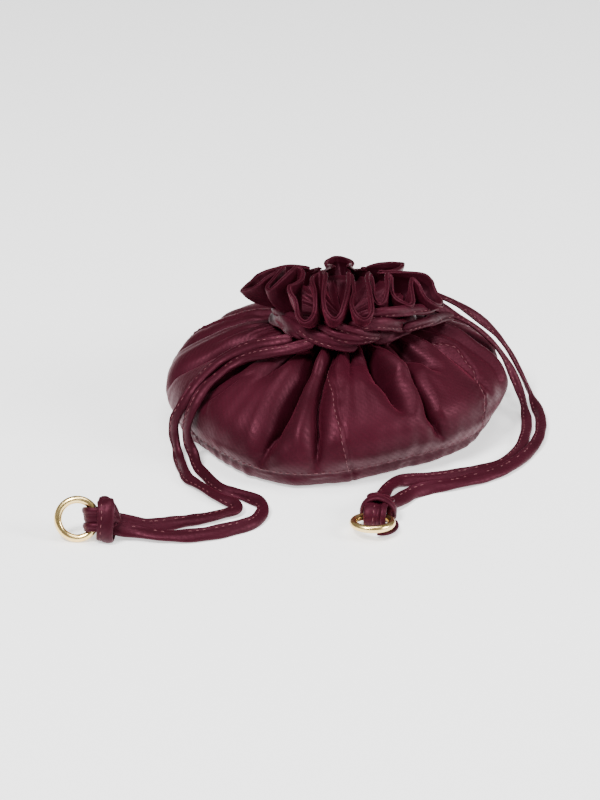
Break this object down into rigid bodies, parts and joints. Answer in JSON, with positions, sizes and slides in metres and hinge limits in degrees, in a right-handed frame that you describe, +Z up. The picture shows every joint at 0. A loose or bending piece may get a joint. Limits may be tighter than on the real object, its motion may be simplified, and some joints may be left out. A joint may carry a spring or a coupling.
{
  "type": "jewelry pouch",
  "caption": "Round satin drawstring jewelry pouch, drawn shut into a ruffled collar, with knotted cords that end in swinging brass rings.",
  "frame": {"origin": "middle of the flat underside of the base panel, the face that the pouch stands on", "axes": "+Z up through the neck and the collar, -Y towards the front, where the cords cross, +X to the right seen from the front"},
  "size_m": [0.1859, 0.1797, 0.0663],
  "materials": {
    "satin": "satin",
    "cord_satin": "satin",
    "pale_brass": "polished"
  },
  "bodies": {
    "pouch": {"base_panel": "satin", "pouch_body": "satin", "ruffled_collar": "satin", "left_cord_neck_turn": "cord_satin", "right_cord_neck_turn": "cord_satin", "left_cord_outer_end": "cord_satin", "left_cord_inner_end": "cord_satin", "right_cord_outer_end": "cord_satin", "right_cord_inner_end": "cord_satin", "left_knot": "cord_satin", "right_knot": "cord_satin"},
    "left_ring": {"left_ring": "pale_brass"},
    "right_ring": {"right_ring": "pale_brass"}
  },
  "joints": [
    {"name": "left_ring_swing", "type": "hinge", "parent": "pouch", "child": "left_ring", "pos_m": [-0.0876, -0.105, 0.00775], "axis": [0, 0.4226, 0.9063], "range_deg": [0, 60]},
    {"name": "right_ring_swing", "type": "hinge", "parent": "pouch", "child": "right_ring", "pos_m": [0.01359, -0.09419, 0.00331], "axis": [-0.9848, 0.1724, -0.0212], "range_deg": [0, 60]}
  ]
}
